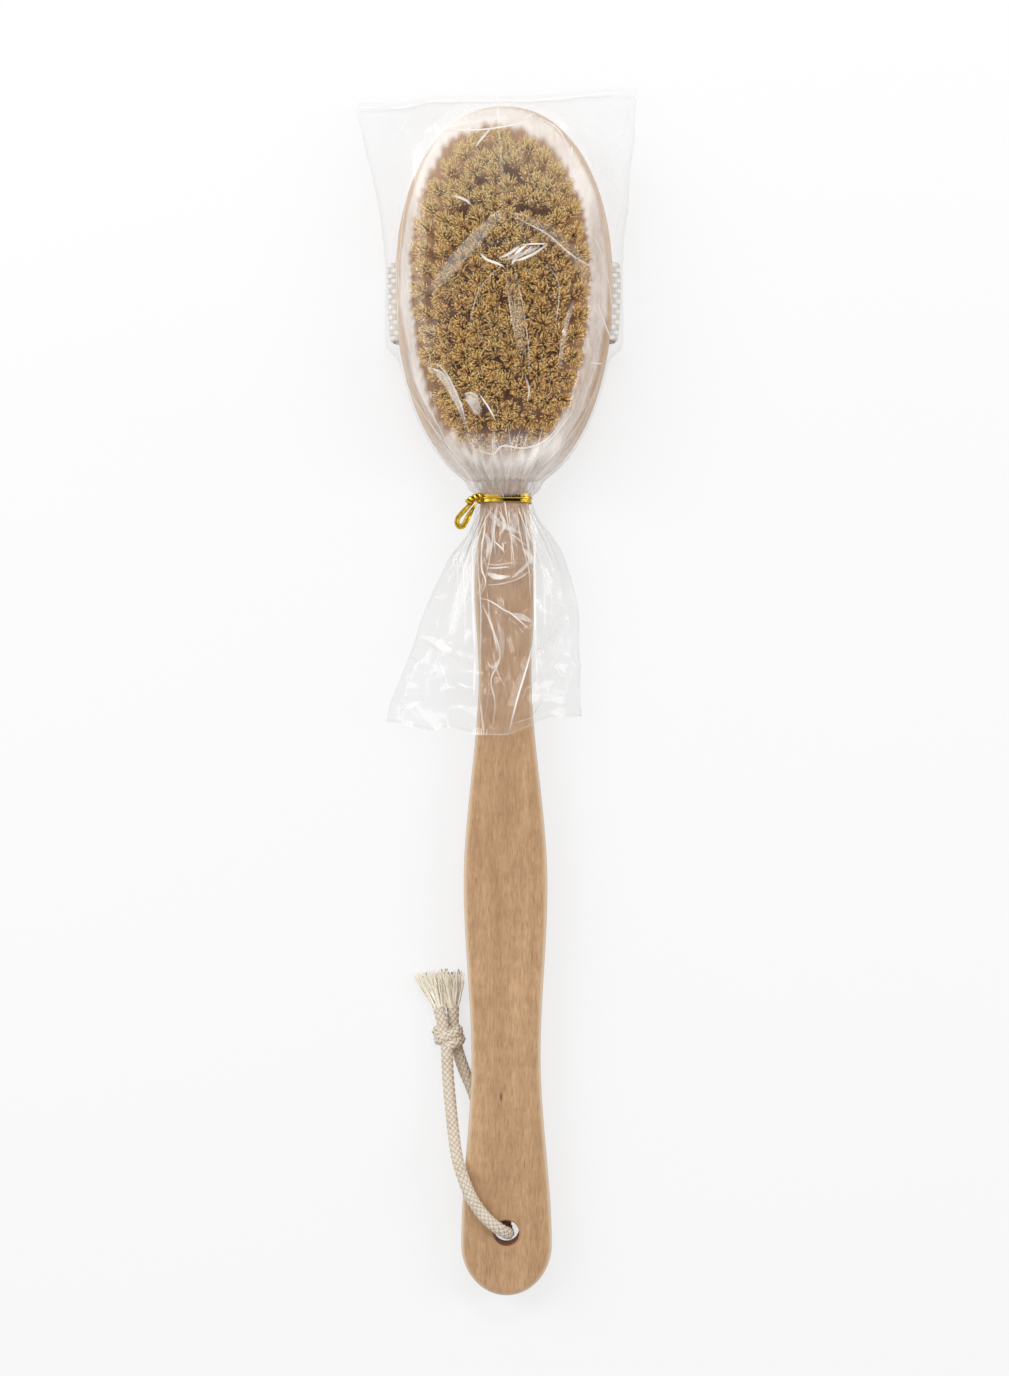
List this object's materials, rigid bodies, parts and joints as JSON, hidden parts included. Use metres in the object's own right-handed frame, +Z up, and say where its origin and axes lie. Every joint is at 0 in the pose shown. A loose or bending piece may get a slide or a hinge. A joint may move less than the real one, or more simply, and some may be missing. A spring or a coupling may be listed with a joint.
{
  "type": "bath brush",
  "caption": "Long-handled wooden bath brush: oval head with tufted bristles and a back hand strap, wavy handle with a cotton hanging cord, in a tied clear film bag.",
  "frame": {"origin": "on the surface that the brush lies on, under the middle of its length and width without the cord", "axes": "+Z up out of the bristles, +Y from the handle's end to the head, +X to the right seen from above"},
  "size_m": [0.1, 0.425, 0.0358],
  "materials": {
    "beech": "fine sanded, unvarnished",
    "bristle": "natural bristle, golden brown",
    "webbing": "cream cotton weave",
    "cotton_cord": "cream cotton braid",
    "steel_pin": "plain wire",
    "clear_film": "clear glossy film",
    "gold_foil": "metallic gold"
  },
  "bodies": {
    "handle": {"handle": "beech", "cord_loop": "cotton_cord", "cord_knot": "cotton_cord", "cord_tail_left": "cotton_cord", "cord_tail_right": "cotton_cord"},
    "head": {"head_block": "beech", "bristle_row_1": "bristle", "bristle_row_2": "bristle", "bristle_row_3": "bristle", "bristle_row_4": "bristle", "bristle_row_5": "bristle", "bristle_row_6": "bristle", "bristle_row_7": "bristle", "bristle_row_8": "bristle", "bristle_row_9": "bristle", "bristle_row_10": "bristle", "hand_strap": "webbing", "strap_pin_left_lower": "steel_pin", "strap_pin_left_upper": "steel_pin", "strap_pin_right_lower": "steel_pin", "strap_pin_right_upper": "steel_pin", "bag": "clear_film", "twist_tie": "gold_foil"}
  },
  "joints": [
    {"name": "head_slide", "type": "slide", "parent": "handle", "child": "head", "axis": [0, 1, 0], "range_m": [0, 0.036]}
  ]
}
